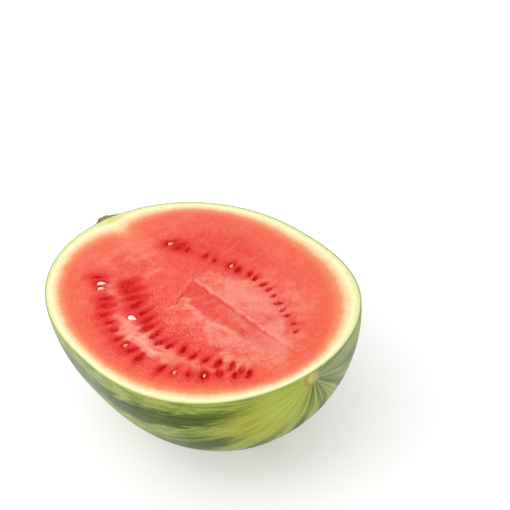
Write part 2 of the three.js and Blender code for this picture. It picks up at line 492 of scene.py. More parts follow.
def hollow_shares(x, y, hollows):
    """How deep in a hollow each point is, from 0 to 1, and how close to one."""
    deep, close = np.zeros_like(x), np.zeros_like(x)
    ragged = 0.20 * wobble(x, y, 2.6, 8) + 0.14 * wobble(x, y, 6, 9)
    for hollow in hollows:
        dx, dy = x - hollow["x"], y - hollow["y"]
        near = np.hypot(dx, dy) < 16
        u = dx[near] * math.cos(hollow["turn"]) + dy[near] * math.sin(hollow["turn"])
        v = -dx[near] * math.sin(hollow["turn"]) + dy[near] * math.cos(hollow["turn"])
        share = u / hollow["long"]
        wide = hollow["wide"] * (1 - 0.25 * np.clip(share, -1, 1))
        q = share**2 + (v / wide) ** 2 + ragged[near]
        deep[near] = np.maximum(deep[near], np.clip(1 - q, 0, 1))
        gap = (np.sqrt(np.clip(q, 0, None)) - 1) * hollow["wide"]
        stain, reach = hollow["stain"], 2.4 + 1.3 * hollow["stain"]
        close[near] = np.maximum(close[near], stain * np.exp(-np.clip(gap + 0.8, 0, None) / reach))
    return deep, close


def row_closeness(x, y):
    """How close each point is to a seed row, from 0 to 1."""
    closeness = np.zeros_like(x)
    for row in SEED_ROWS:
        reach, kept = row["blush"]
        _, _, line = spline(row["line"], 2)
        gap = np.full_like(x, 1e9)
        for place in line[::4]:
            gap = np.minimum(gap, np.hypot(x - place[0], y - place[1]))
        fading = kept + (1 - kept) * smooth(row["line"][-1][0] - 20, row["line"][0][0] + 40, x)
        closeness = np.maximum(closeness, fading * hump(gap, 0, reach))
    return closeness


def paleness(x, y):
    """How much paler than usual the flesh is at each point, below 0 where it is deeper."""
    x = x + 4 * wobble(x, y, 26, 31)
    y = y + 3 * wobble(x, y, 22, 32)
    total = np.zeros_like(x)
    for *place, strength in PATCHES:
        total += strength * spot(x, y, place)
    return np.clip(total, -1, 2)


def rind_thickness(x, y):
    """Millimetres of pale rind between the skin and the blush, in the direction of each point."""
    heading = np.arctan2(y / HALF_WIDTH, x / HALF_LENGTH)
    usual = 7.7 + 1.9 * np.sin(heading) + 0.8 * np.sin(2 * heading) + 1.3 * (1 - np.cos(heading))
    shoulders = 3.0 * np.sin(2 * heading) ** 2 * (x > 0) - 0.6 * hump(heading, 0, 0.35)
    near_left = 1.1 * hump(heading, -2.07, 0.5)
    far = hump(heading, 1.5, 0.6)
    from_stem = np.pi - np.abs(heading)
    by_stem = 8.5 * hump(from_stem, 0, 0.42) + 9 * hump(from_stem, 0, 0.09)
    return usual + (shoulders + near_left + far) + by_stem


def distance_to_rim(x, y, rim):
    """Millimetres from each point to the closed rim."""
    best = np.full(len(x), 1e18)
    ends = np.roll(rim, -1, axis=0)
    for (ax, ay), (bx, by) in zip(rim, ends):
        dx, dy = bx - ax, by - ay
        t = np.clip(((x - ax) * dx + (y - ay) * dy) / (dx * dx + dy * dy + 1e-12), 0, 1)
        best = np.minimum(best, (x - ax - t * dx) ** 2 + (y - ay - t * dy) ** 2)
    return np.sqrt(best)


def cut_points(rim, cut, hollows):
    """Places inside the rim: a plain hexagonal net, with a finer one in hollows and along the tear."""

    def net(spacing, shift):
        xs = np.arange(-HALF_LENGTH, HALF_LENGTH, spacing) + shift
        ys = np.arange(-HALF_WIDTH, HALF_WIDTH, spacing * 0.866)
        gx, gy = np.meshgrid(xs, ys)
        gx = gx + (np.arange(len(ys)) % 2)[:, None] * spacing / 2
        return gx.ravel(), gy.ravel()

    def detailed(x, y):
        busy = np.zeros(len(x), bool)
        for hollow in hollows:
            busy |= np.hypot(x - hollow["x"], y - hollow["y"]) < hollow["long"] + 1.5
        far, near = tear_edges(x)
        along_tear = (x > -18) & (x < 126) & ((np.abs(y - far) < 2.2) | (np.abs(y - near - 1.5) < 4))
        return busy | along_tear | ((np.abs(x - tear_start(y)) < 5) & (np.abs(y + 7) < 25))

    def inside(x, y, gap):
        share = np.hypot(x / HALF_LENGTH, y / HALF_WIDTH)
        kept = share < 1.06
        far_in = np.zeros(len(x), bool)
        far_in[kept] = distance_signed(x[kept], y[kept], rim) > gap
        return far_in

    cx, cy = net(cut.coarse / MM, 0.0)
    fx, fy = net(cut.fine / MM, 0.21)
    fx, fy = fx[detailed(fx, fy)], fy[detailed(fx, fy)]
    plain = ~detailed(cx, cy)
    x = np.concatenate([cx[plain], fx])
    y = np.concatenate([cy[plain], fy])
    keep = inside(x, y, 0.8)
    return x[keep], y[keep]


def distance_signed(x, y, rim):
    """Distance to the rim, positive inside it. The rim is convex and runs anticlockwise."""
    best = np.full(len(x), 1e18)
    for (ax, ay), (bx, by) in zip(rim, np.roll(rim, -1, axis=0)):
        span = math.hypot(bx - ax, by - ay)
        if span > 1e-6:
            best = np.minimum(best, ((bx - ax) * (y - ay) - (by - ay) * (x - ax)) / span)
    return best


def lower_half(shape):
    """The round side of the half, open at the cut and closed at the flat spot."""
    points, faces = whole_fruit(shape)
    bm = bmesh.new()
    made = [bm.verts.new(p) for p in points]
    for face in faces:
        bm.faces.new([made[i] for i in face])

    def cut_off(height, upward):
        """Takes off what is above or below the height, and gives the edges round the opening."""
        made = bmesh.ops.bisect_plane(
            bm,
            geom=bm.verts[:] + bm.edges[:] + bm.faces[:],
            plane_co=(0, 0, height),
            plane_no=(0, 0, upward),
            clear_outer=True,
        )
        return [e for e in made["geom_cut"] if isinstance(e, bmesh.types.BMEdge)]

    cut_off(0, 1)
    flat = cut_off(-CUT_HEIGHT, -1)
    bmesh.ops.contextual_create(bm, geom=flat)
    for face in bm.faces:
        face.material_index = SKIN
    return bm


def fill_cut(bm, cut, hollows):
    """Closes the cut with a net of triangles. Gives the net's vertices and the cut's outline."""
    rim = ordered_loop([e for e in bm.edges if e.is_boundary])
    outline = np.array([v.co[:2] for v in rim])
    if area_of(outline) < 0:
        rim.reverse()
        outline = outline[::-1]
    x, y = cut_points(outline, cut, hollows)
    flat_points = [Vector(p) for p in outline] + [Vector(p) for p in zip(x, y)]
    count = len(outline)
    ring = [(i, (i + 1) % count) for i in range(count)]
    places, _, triangles, origins, _, _ = delaunay_2d_cdt(flat_points, ring, [], 1, 1e-5)
    at = []
    for place, source in zip(places, origins):
        rim_vertex = next((i for i in source if i < count), None)
        at.append(rim[rim_vertex] if rim_vertex is not None else bm.verts.new((*place, 0.0)))
    for triangle in triangles:
        face = bm.faces.new([at[i] for i in triangle])
        face.material_index = FLESH
    bm.normal_update()
    bm.verts.index_update()
    return at, outline


def cut_drop(x, y, cut, deep, bed, crack):
    """Millimetres that each point lies below the flat cut."""
    rough = 0.09 * wobble(x, y, 9, 21) + 0.05 * wobble(x, y, 3.2, 22)
    rough += 0.10 * spot(x, y, GRANULAR_SPOT) * wobble(x, y, 2.2, 23)
    bed_rough = bed * (0.25 * wobble(x, y, 7, 24) + 0.12 * wobble(x, y, 2.4, 25)) + 0.9 * crack
    drop = bed * cut.tear_depth / MM + bed_rough + np.clip(rough + 0.15, 0, None)
    return drop + deep * cut.hollow_depth / MM


def melon_mesh(shape, cut, seeds):
    """The body as one closed mesh in the part's frame, with the attributes that the finishes read."""
    hollows = seed_hollows(cut, seeds)
    bm = lower_half(shape)
    at, outline = fill_cut(bm, cut, hollows)
    co = np.array([v.co for v in bm.verts])
    top = np.zeros(len(co), bool)
    top[[v.index for v in at]] = True
    x, y = co[:, 0], co[:, 1]
    deep, close = hollow_shares(x, y, hollows)
    bed, lip, crack = tear_bed(x, y)
    rim_gap = np.zeros(len(co))
    rim_gap[top] = distance_to_rim(x[top], y[top], outline)
    drop = cut_drop(x, y, cut, deep, bed, crack) * smooth(0.5, 6, rim_gap)
    co[top, 2] = -np.clip(drop, 0, None)[top]
    for v, p in zip(bm.verts, on_part(co)):
        v.co = p
    mesh = bpy.data.meshes.new("flesh_rind_and_skin")
    bm.to_mesh(mesh)
    bm.free()

    heading = np.arctan2(y / HALF_WIDTH, x / HALF_LENGTH)
    ring_share = np.hypot(x / HALF_LENGTH, y / HALF_WIDTH)
    store(mesh, "rind", rim_gap / rind_thickness(x, y))
    store(mesh, "rim_gap", rim_gap)
    store(mesh, "granular", spot(x, y, GRANULAR_SPOT))
    store(mesh, "hollow", deep)
    store(mesh, "near_hollow", close)
    store(mesh, "seed_row", row_closeness(x, y))
    store(mesh, "torn_bed", bed)
    store(mesh, "torn_lip", lip)
    store(mesh, "crack", crack)
    store(mesh, "pale", paleness(x, y))
    store(mesh, "stem_green", spot(x, y, STEM_GREEN_SPOT))
    grain = np.stack([ring_share, np.cos(heading), np.sin(heading)], -1)
    store(mesh, "grain", grain, "FLOAT_VECTOR", "vector")
    for polygon in mesh.polygons:
        polygon.use_smooth = True
    return mesh


def area_of(outline):
    x, y = outline[:, 0], outline[:, 1]
    return 0.5 * np.sum(x * np.roll(y, -1) - np.roll(x, -1) * y)


def ordered_loop(edges):
    """The vertices of one closed loop of edges, in order."""
    links = {}
    for edge in edges:
        a, b = edge.verts
        links.setdefault(a, []).append(b)
        links.setdefault(b, []).append(a)
    first = edges[0].verts[0]
    loop, before, here = [first], None, first
    while True:
        after = next(v for v in links[here] if v is not before)
        if after is first:
            return loop
        loop.append(after)
        before, here = here, after


def store(mesh, name, values, kind="FLOAT", field="value"):
    attribute = mesh.attributes.new(name, kind, "POINT")
    attribute.data.foreach_set(field, np.asarray(values, np.float32).ravel())


# Materials


class Nodes:
    """A node tree under construction, with short ways to add and join its nodes."""

    def __init__(self, tree):
        self.tree = tree

    def node(self, kind, inputs=None, **settings):
        made = self.tree.nodes.new(kind)
        for key, value in settings.items():
            setattr(made, key, value)
        for key, value in (inputs or {}).items():
            self.put(made.inputs[key], value)
        return made

    def put(self, socket, value):
        if isinstance(value, bpy.types.NodeSocket):
            self.tree.links.new(value, socket)
        elif isinstance(value, (int, float)) and socket.type in ("VECTOR", "RGBA"):
            socket.default_value = [value] * len(socket.default_value)
        else:
            socket.default_value = value

    def maths(self, operation, a, b=0.0, c=0.0):
        return self.node("ShaderNodeMath", {0: a, 1: b, 2: c}, operation=operation).outputs[0]

    def times(self, a, b):
        return self.maths("MULTIPLY", a, b)


class Finish(Nodes):
    """A material under construction."""

    def __init__(self, name):
        old = bpy.data.materials.get(name)
        if old:
            bpy.data.materials.remove(old)
        self.material = bpy.data.materials.new(name)
        self.material.use_nodes = True
        super().__init__(self.material.node_tree)

    def finished(self, values):
        """The material, once its shader has these values or the outputs of these nodes."""
        shader = self.tree.nodes["Principled BSDF"]
        for key, value in values.items():
            self.put(shader.inputs[key], value)
        return self.material

    def nudged(self, value, noise, strength):
        """The value moved up and down by a noise that is 0.5 on average."""
        return self.maths("MULTIPLY_ADD", self.maths("SUBTRACT", noise, 0.5), strength, value)

    def stretched(self, vector, scale):
        return self.node("ShaderNodeMapping", {"Vector": vector, "Scale": scale}).outputs[0]

    def gap_to(self, vector, place):
        """Distance from each point to the place."""
        return self.node("ShaderNodeVectorMath", {0: vector, 1: place}, operation="DISTANCE").outputs["Value"]

    def attribute(self, name, output="Fac"):
        return self.node("ShaderNodeAttribute", attribute_name=name).outputs[output]

    def noise(self, vector, scale, detail=3.0, roughness=0.5, distortion=0.0):
        inputs = {"Vector": vector, "Scale": scale, "Detail": detail, "Roughness": roughness}
        return self.node("ShaderNodeTexNoise", {**inputs, "Distortion": distortion}).outputs["Fac"]

    def mix(self, factor, a, b):
        made = self.node("ShaderNodeMix", data_type="RGBA")
        colours = [s for s in made.inputs if s.type == "RGBA"]
        self.put(made.inputs["Factor"], factor)
        self.put(colours[0], a)
        self.put(colours[1], b)
        return next(s for s in made.outputs if s.type == "RGBA")

    def range(self, value, low, high, to_low=0.0, to_high=1.0):
        inputs = {"Value": value, "From Min": low, "From Max": high, "To Min": to_low, "To Max": to_high}
        return self.node("ShaderNodeMapRange", inputs, interpolation_type="SMOOTHSTEP").outputs["Result"]

    def ramp(self, value, stops):
        made = self.node("ShaderNodeValToRGB", {"Fac": value})
        elements = made.color_ramp.elements
        while len(elements) < len(stops):
            elements.new(0.5)
        for element, (position, shade) in zip(elements, stops):
            element.position, element.color = position, shade
        return made.outputs["Color"]

    def bump(self, height, distance, strength=1.0, normal=None):
        inputs = {"Height": height, "Distance": distance, "Strength": strength}
        if normal is not None:
            inputs["Normal"] = normal
        return self.node("ShaderNodeBump", inputs).outputs["Normal"]


def cut_patterns(f):
    """The noises and attributes that the colours of the cut share."""
    place = f.node("ShaderNodeTexCoord").outputs["Object"]
    grain = f.attribute("grain", "Vector")
    cells = f.node("ShaderNodeTexVoronoi", {"Vector": place, "Scale": 560, "Randomness": 1.0})
    return SimpleNamespace(
        outward=f.node("ShaderNodeSeparateXYZ", {"Vector": grain}).outputs["X"],
        arcs=f.noise(f.stretched(grain, (30, 3.2, 3.2)), 1.0, 4, 0.62),
        rays=f.noise(f.stretched(grain, (4, 30, 30)), 1.0, 3, 0.6),
        cloud=f.noise(place, 24, 3, 0.55, 0.4),
        patchwork=f.noise(place, 75, 2, 0.5),
        blotch=f.noise(place, 95, 4, 0.62),
        mottle=f.noise(place, 270, 3, 0.65),
        speck=f.noise(place, 560, 2, 0.55),
        cells=cells.outputs["Distance"],
        patch=f.attribute("pale"),
        granular=f.attribute("granular"),
        near_hollow=f.attribute("near_hollow"),
        rind=f.attribute("rind"),
    )


def mottled_flesh(f, flesh, at):
    """Pale and deep patches, with arcs round the heart and rays out of it, and the flesh beside the rind."""
    pale = f.nudged(at.patch, at.cloud, 1.5)
    pale = f.nudged(pale, at.blotch, 1.9)
    pale = f.nudged(pale, at.mottle, 1.1)
    shade = f.mix(f.range(pale, -0.1, 1.0), flesh.heart[:], flesh.pale[:])
    shade = f.mix(f.range(pale, 1.1, 2.3, 0.0, 0.8), shade, flesh.glassy[:])
    shade = f.mix(f.times(f.range(pale, 0.0, -1.1), 0.75), shade, flesh.deep[:])
    outer = f.range(at.outward, 0.35, 0.7, 0.25, 0.65)
    shade = f.mix(f.times(f.range(at.arcs, 0.52, 0.72), outer), shade, flesh.deep[:])
    light_rays = f.times(f.range(at.rays, 0.52, 0.7), f.range(at.patch, 0.1, 0.9, 0.25, 0.6))
    shade = f.mix(light_rays, shade, flesh.pale[:])
    dark_rays = f.times(f.range(at.rays, 0.46, 0.3), f.range(at.patch, 0.1, 0.9, 0.0, 0.35))
    shade = f.mix(dark_rays, shade, flesh.deep[:])
    return f.mix(f.times(f.range(at.rind, 5.5, 1.8), 0.7), shade, flesh.edge[:])


def stained_rows(f, flesh, at, shade):
    """Deeper red along the seed rows and round each hollow, and the torn bed with its lips, lighter with a
    painted highlight, and its crack, darkened with painted shadow.
    """
    rows = f.times(f.attribute("seed_row"), f.range(at.blotch, 0.34, 0.6, 0.25, 1.0))
    shade = f.mix(f.times(rows, f.range(at.patch, 0.7, 0.1)), shade, flesh.deep[:])
    shade = f.mix(f.times(f.attribute("torn_bed"), 0.28), shade, flesh.deep[:])
    # Painted highlight on the torn lips, over paler crushed flesh.
    lip = f.times(f.attribute("torn_lip"), f.range(at.blotch, 0.35, 0.6, 0.45, 0.95))
    shade = f.mix(lip, shade, flesh.lip[:])
    halo = f.times(at.near_hollow, f.range(at.patch, 1.0, 0.3, 0.3, 1.0))
    halo = f.nudged(f.nudged(halo, at.rays, 0.6), at.mottle, 0.7)
    shade = f.mix(f.range(halo, 0.0, 0.75), shade, flesh.deep[:])
    sunk = f.nudged(f.attribute("hollow"), at.mottle, 0.5)
    sunk = f.maths("MULTIPLY_ADD", at.near_hollow, 0.7, sunk)
    uneven = f.range(at.patchwork, 0.40, 0.58, 0.4, 1.0)
    shade = f.mix(f.times(f.range(sunk, 0.1, 1.05), uneven), shade, flesh.hollow[:])
    # Painted shadow in the crack and under the far lip.
    return f.mix(f.times(f.attribute("crack"), 0.8), shade, flesh.hollow[:])


def speckled(f, flesh, at, shade):
    """Wet glints and small dimples, which stay out of the hollows."""
    solid = f.range(at.near_hollow, 0.65, 0.2)
    glint = f.maths("MULTIPLY_ADD", at.granular, 0.4, f.range(at.blotch, 0.4, 0.6, 0.05, 0.25))
    glint = f.times(f.times(glint, solid), f.range(at.cells, 0.36, 0.06))
    shade = f.mix(glint, shade, flesh.lip[:])
    dimple = f.maths("MULTIPLY_ADD", at.granular, 0.3, f.range(at.patch, 0.1, 0.8, 0.22, 0.1))
    dimple = f.times(dimple, solid)
    shade = f.mix(f.times(dimple, f.range(at.speck, 0.5, 0.34)), shade, flesh.deep[:])
    return f.mix(f.times(dimple, f.range(at.speck, 0.52, 0.68)), shade, flesh.lip[:])


def rinded(f, flesh, rind, at, shade):
    """The rind round the flesh, from the green line of the skin to the blush."""
    ragged = f.nudged(f.nudged(at.rind, at.rays, 0.32), at.blotch, 0.25)
    fade = f.ramp(
        f.times(ragged, 0.5),
        [
            (0.0, rind.lime[:]),
            (0.09, rind.lime[:]),
            (0.24, rind.cream[:]),
            (0.46, rind.blush[:]),
            (0.63, rind.peach[:]),
            (0.95, flesh.edge[:]),
        ],
    )
    fade = f.mix(f.range(f.attribute("rim_gap"), 0.1, 1.8), rind.line[:], fade)
    green = f.times(f.attribute("stem_green"), f.range(at.blotch, 0.3, 0.6, 0.5, 1.0))
    fade = f.mix(f.times(green, 0.8), fade, rind.by_stalk[:])
    return f.mix(f.range(ragged, 1.25, 2.3), fade, shade)


def cut_finish(flesh, rind):
    """Wet granular flesh that fades through a blush to the pale rind and the green line of the skin."""
    f = Finish("cut_flesh_and_rind")
    at = cut_patterns(f)
    shade = mottled_flesh(f, flesh, at)
    shade = stained_rows(f, flesh, at, shade)
    shade = speckled(f, flesh, at, shade)
    shade = rinded(f, flesh, rind, at, shade)
    fine = f.bump(at.cells, 0.0006, 0.5)
    return f.finished(
        {
            "Base Color": shade,
            "Roughness": f.range(at.speck, 0.3, 0.7, 0.3, 0.5),
            "Subsurface Weight": 0.25,
            "Subsurface Radius": (1.0, 0.35, 0.2),
            "Subsurface Scale": 0.004,
            "IOR": 1.3,
            "Normal": f.bump(at.blotch, 0.0012, 0.5, fine),
        }
    )


def skin_patterns(f, shape):
    """Places and turns round the fruit's own axis, and the noises that the skin's colours share."""
    dip = shape.blossom_dip
    tilt = math.atan2(dip, 2 * HALF_LENGTH * MM)
    centre = Vector((MIDDLE_X * MM, 0, CUT_HEIGHT * MM - dip / 2))
    shift = -(Matrix.Rotation(-tilt, 3, "Y") @ centre)
    place = f.node("ShaderNodeTexCoord").outputs["Object"]
    moved = {"Vector": place, "Location": shift, "Rotation": (0, -tilt, 0)}
    own = f.node("ShaderNodeMapping", moved).outputs[0]
    x, y, z = f.node("ShaderNodeSeparateXYZ", {"Vector": own}).outputs
    turn = f.maths("ARCTAN2", y, f.times(z, -1))

    def strokes(around, along, detail, roughness):
        flat = f.node("ShaderNodeCombineXYZ", {"X": f.times(turn, around), "Y": f.times(x, along)})
        return f.noise(flat.outputs[0], 1.0, detail, roughness)

    ripple = f.noise(own, 14, 4, 0.6)
    feather = strokes(26, 62, 4, 0.62)
    return SimpleNamespace(
        own=own,
        x=x,
        turn=turn,
        strokes=strokes,
        ripple=ripple,
        feather=feather,
        dapple=strokes(30, 62, 4, 0.62),
        streaks=strokes(30, 12, 4, 0.6),
        cloud=f.noise(own, 22, 4, 0.6),
        swing=f.nudged(f.nudged(turn, ripple, 0.20), feather, 0.26),
        pole_gap=f.gap_to(own, (HALF_LENGTH * MM, 0, 0)),
    )


def striped(f, skin, at):
    """Feathered dark and light bands, which fade near the blossom end on the near side."""
    wave = f.maths("COSINE", f.maths("MULTIPLY_ADD", at.swing, float(skin.stripes), skin.phase))
    light = f.mix(f.range(at.dapple, 0.44, 0.6, 0.1, 0.8), skin.light[:], skin.mid[:])
    light = f.mix(f.range(at.strokes(5, 16, 3, 0.55), 0.5, 0.68, 0.0, 0.6), light, skin.mid[:])
    dark = f.mix(f.range(at.streaks, 0.42, 0.75, 0.0, 0.7), skin.dark[:], skin.mid[:])
    dark = f.mix(f.range(at.dapple, 0.4, 0.28, 0.0, 0.5), dark, skin.light[:])
    faded = f.times(f.range(at.pole_gap, 0.066, 0.046), f.range(at.turn, -0.3, -0.8))
    band = f.times(f.range(wave, -0.2, 0.75), f.maths("SUBTRACT", 1.0, faded))
    return f.mix(band, light, dark)


def low_band_and_painted_shade(f, skin, at, shade):
    """One more dark band, low on the near side, which also paints shade on the underside near the floor."""
    # Painted shade: darkens the skin low on the near side, towards the floor.
    low = f.times(f.range(at.swing, -1.26, -1.12, 0.0, 0.85), f.range(at.swing, -0.7, -0.9))
    low = f.times(low, f.times(f.range(at.x, 0.125, 0.105), f.range(at.x, 0.02, 0.05)))
    return f.mix(f.times(low, f.range(at.streaks, 0.7, 0.4)), shade, skin.dark[:])


def bloom_and_painted_sheen(f, skin, at, shade):
    """Waxy bloom with a painted sheen over it, both stronger and uneven towards the stem end."""
    bloom_and_sheen_reach = f.nudged(f.nudged(at.x, at.cloud, 0.16), at.feather, 0.10)
    # Painted sheen mixed with the waxy bloom, lightening the skin towards the stem end.
    return f.mix(f.range(bloom_and_sheen_reach, 0.115, 0.0, 0.0, 0.36), shade, skin.bloom_and_sheen[:])


def olive_patched(f, skin, at, shade):
    """The yellowish patch that had no sun, near the blossom end."""
    gap = f.gap_to(at.own, Vector(OLIVE_PATCH) * MM)
    gap = f.nudged(f.nudged(gap, at.ripple, 0.05), at.feather, 0.04)
    olive = f.mix(f.range(at.dapple, 0.44, 0.64, 0.0, 0.5), skin.olive[:], skin.mid[:])
    return f.mix(f.range(gap, 0.040, 0.010, 0.0, 0.85), shade, olive)


def rayed(f, skin, at, shade):
    """Crooked dark rays on a lighter ground, round the blossom scar."""
    crooked = f.maths("ABSOLUTE", f.maths("SUBTRACT", at.strokes(6.5, 9, 3, 0.6), 0.5))
    ground = f.mix(f.range(at.turn, -0.5, 0.5), skin.near_rays[:], skin.far_rays[:])
    drawn = f.times(f.range(at.turn, -1.1, 0.3, 0.3, 0.9), f.range(at.pole_gap, 0.05, 0.012, 0.5, 1.0))
    rays = f.mix(f.times(f.range(crooked, 0.10, 0.02), drawn), ground, skin.dark[:])
    strength = f.range(at.strokes(2.4, 0, 2, 0.5), 0.35, 0.6, 0.6, 0.95)
    return f.mix(f.times(f.range(at.pole_gap, 0.056, 0.03), strength), shade, rays)


def scarred(f, skin, at, shade):
    """The corky blossom scar in its broken ring, and a painted sheen on the far side of it."""
    gap = f.nudged(at.pole_gap, at.dapple, 0.012)
    shade = f.mix(f.range(gap, 0.009, 0.003, 0.0, 0.7), shade, skin.scar[:])
    off_ring = f.maths("ABSOLUTE", f.maths("SUBTRACT", gap, 0.0065))
    ring = f.times(f.range(off_ring, 0.003, 0.0005, 0.0, 0.85), f.range(at.feather, 0.40, 0.56))
    shade = f.mix(ring, shade, skin.scar_ring[:])
    # Painted sheen: lightens the far side of the skin near the blossom end.
    painted_rim_sheen = f.times(f.range(at.turn, 0.2, 1.2, 0.0, 0.3), f.range(at.x, 0.06, 0.11))
    return f.mix(painted_rim_sheen, shade, skin.bloom_and_sheen[:])


def skin_finish(skin, shape):
    """Dark and light bands along the fruit, with painted shade low down, the bloom and painted sheen, the
    olive patch and the rayed blossom end.
    """
    f = Finish("striped_skin")
    at = skin_patterns(f, shape)
    shade = striped(f, skin, at)
    for layer in (low_band_and_painted_shade, bloom_and_painted_sheen, olive_patched, rayed, scarred):
        shade = layer(f, skin, at, shade)
    return f.finished(
        {
            "Base Color": shade,
            "Roughness": f.range(at.streaks, 0.3, 0.7, 0.36, 0.5),
            "IOR": 1.23,
            "Sheen Weight": 0.03,
            "Sheen Roughness": 0.45,
            "Normal": f.bump(f.noise(at.own, 900, 2, 0.5), 0.0002, 0.25),
        }
    )


def coat_finish(seeds):
    f = Finish("seed_coat")
    place = f.node("ShaderNodeTexCoord").outputs["Object"]
    cloud = f.noise(place, 400, 3, 0.6)
    shade = f.mix(f.attribute("fresh"), seeds.sunken[:], seeds.coat[:])
    shade = f.mix(f.range(cloud, 0.45, 0.75, 0.0, 0.6), shade, seeds.sunken[:])
    return f.finished(
        {
            "Base Color": shade,
            "Roughness": 0.3,
            "Subsurface Weight": 0.3,
            "Subsurface Scale": 0.002,
            "Normal": f.bump(cloud, 0.0003, 0.4),
        }
    )


def stalk_finish(stalk):
    f = Finish("dried_stalk")
    place = f.node("ShaderNodeTexCoord").outputs["Object"]
    fibres = f.noise(f.stretched(place, (50, 260, 260)), 1.0, 3, 0.5)
    return f.finished(
        {
            "Base Color": f.mix(f.range(fibres, 0.3, 0.7), stalk.groove[:], stalk.ridge[:]),
            "Roughness": f.range(fibres, 0.3, 0.7, 0.5, 0.8),
            "Normal": f.bump(fibres, 0.0006, 0.5),
        }
    )


# Pieces


def show(name, mesh, *materials):
    piece = bpy.data.objects.new(name, mesh)
    bpy.context.scene.collection.objects.link(piece)
    for material in materials:
        mesh.materials.append(material)
    return piece


def seed_tree(material):
    """Places one seed coat on each point, turned and sized by the point's own attributes."""
    tree = bpy.data.node_groups.new("Seed coats", "GeometryNodeTree")
    tree.interface.new_socket("Geometry", in_out="INPUT", socket_type="NodeSocketGeometry")
    for name in ("Half length", "Half width", "Half thickness"):
        tree.interface.new_socket(name, in_out="INPUT", socket_type="NodeSocketFloat")
    tree.interface.new_socket("Geometry", in_out="OUTPUT", socket_type="NodeSocketGeometry")
    g = Nodes(tree)
    points, *sizes = g.node("NodeGroupInput").outputs[:4]
    ball = g.node("GeometryNodeMeshIcoSphere", {"Radius": 1.0, "Subdivisions": 4}).outputs["Mesh"]
    place = g.node("GeometryNodeInputPosition").outputs[0]
    x, y, z = g.node("ShaderNodeSeparateXYZ", {0: place}).outputs
    narrow = g.times(y, g.maths("MULTIPLY_ADD", x, -0.32, 0.9))
    tapered = g.node("ShaderNodeCombineXYZ", {"X": x, "Y": narrow, "Z": z}).outputs[0]
    size = g.node("ShaderNodeCombineXYZ", dict(enumerate(sizes))).outputs[0]
    drop = g.node("ShaderNodeVectorMath", {0: tapered, 1: size}, operation="MULTIPLY").outputs[0]
    coat = g.node("GeometryNodeSetPosition", {"Geometry": ball, "Position": drop}).outputs[0]
    spread = {"Points": points, "Instance": coat}
    for field, kind, socket in (("lie", "FLOAT_VECTOR", "Rotation"), ("size", "FLOAT", "Scale")):
        named = g.node("GeometryNodeInputNamedAttribute", {"Name": field}, data_type=kind)
        spread[socket] = named.outputs["Attribute"]
    coats = g.node("GeometryNodeInstanceOnPoints", spread).outputs["Instances"]
    real = g.node("GeometryNodeRealizeInstances", {0: coats}).outputs[0]
    soft = g.node("GeometryNodeSetShadeSmooth", {0: real}).outputs[0]
    painted = g.node("GeometryNodeSetMaterial", {"Geometry": soft, "Material": material}).outputs[0]
    g.node("NodeGroupOutput", {0: painted})
    return tree


class MELON_OT_body(bpy.types.Operator):
    """Build the flesh, the rind and the skin as one closed body"""

    bl_idname = "melon.body"
    bl_label = "Flesh, rind and skin"

    def execute(self, context):
        scene = context.scene
        mesh = melon_mesh(scene.melon_shape, scene.melon_cut, scene.melon_seeds)
        on_cut = cut_finish(scene.melon_flesh, scene.melon_rind)
        on_skin = skin_finish(scene.melon_skin, scene.melon_shape)
        piece = show("flesh_rind_and_skin", mesh, on_cut, on_skin)
        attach(piece, "root")
        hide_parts(CAD_NODE)
        return {"FINISHED"}


def seed_places(seeds, hollows):
    """One point for each seed coat, just under the cut, with its turn, its size and how whole it is."""
    draw = random_series(ROLL_SEED)
    places, lie, fresh = [], [], []
    for hollow in hollows:
        size = hollow["seed"]
        whole = min(max((size - 0.7) / 0.3, 0.15), 1)
        roll = (1 - whole) * 0.9 + 0.2 * (draw() - 0.5)
        wide, thick = seeds.seed_width / MM * size, seeds.seed_thickness / MM * size
        reach = 1.1 * math.hypot(wide * math.sin(roll), thick * math.cos(roll))
        places.append((hollow["x"], hollow["y"], -seeds.cover / MM - reach))
        lie.append((roll, 0.0, hollow["turn"]))
        fresh.append(whole)
    points = bpy.data.meshes.new("seed_places")
    points.from_pydata(on_part(places).tolist(), [], [])
    store(points, "lie", lie, "FLOAT_VECTOR", "vector")
    store(points, "size", [h["seed"] for h in hollows])
    store(points, "fresh", fresh)
    return points


class MELON_OT_seeds(bpy.types.Operator):
    """Lay a pale seed coat in each of the hollows that hold one"""

    bl_idname = "melon.seeds"
    bl_label = "Seed coats"

    def execute(self, context):
        seeds = context.scene.melon_seeds
        held = [h for h in seed_hollows(context.scene.melon_cut, seeds) if h["seed"]]
        piece = bpy.data.objects.new("seed_places", seed_places(seeds, held))
        context.scene.collection.objects.link(piece)
        modifier = piece.modifiers.new("Seed coats", "NODES")
        modifier.node_group = seed_tree(coat_finish(seeds))
        values = {
            "Half length": seeds.seed_length,
            "Half width": seeds.seed_width,
            "Half thickness": seeds.seed_thickness,
        }
        for item in modifier.node_group.interface.items_tree:
            if item.in_out == "INPUT" and item.name in values:
                modifier[item.identifier] = values[item.name]
        context.view_layer.update()
        evaluated = piece.evaluated_get(context.evaluated_depsgraph_get())
        mesh = bpy.data.meshes.new_from_object(evaluated)
        mesh.name = "seed_coats"
        piece.modifiers.clear()
        bpy.data.objects.remove(piece)
        coats = show("seed_coats", mesh)
        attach(coats, "root")
        return {"FINISHED"}


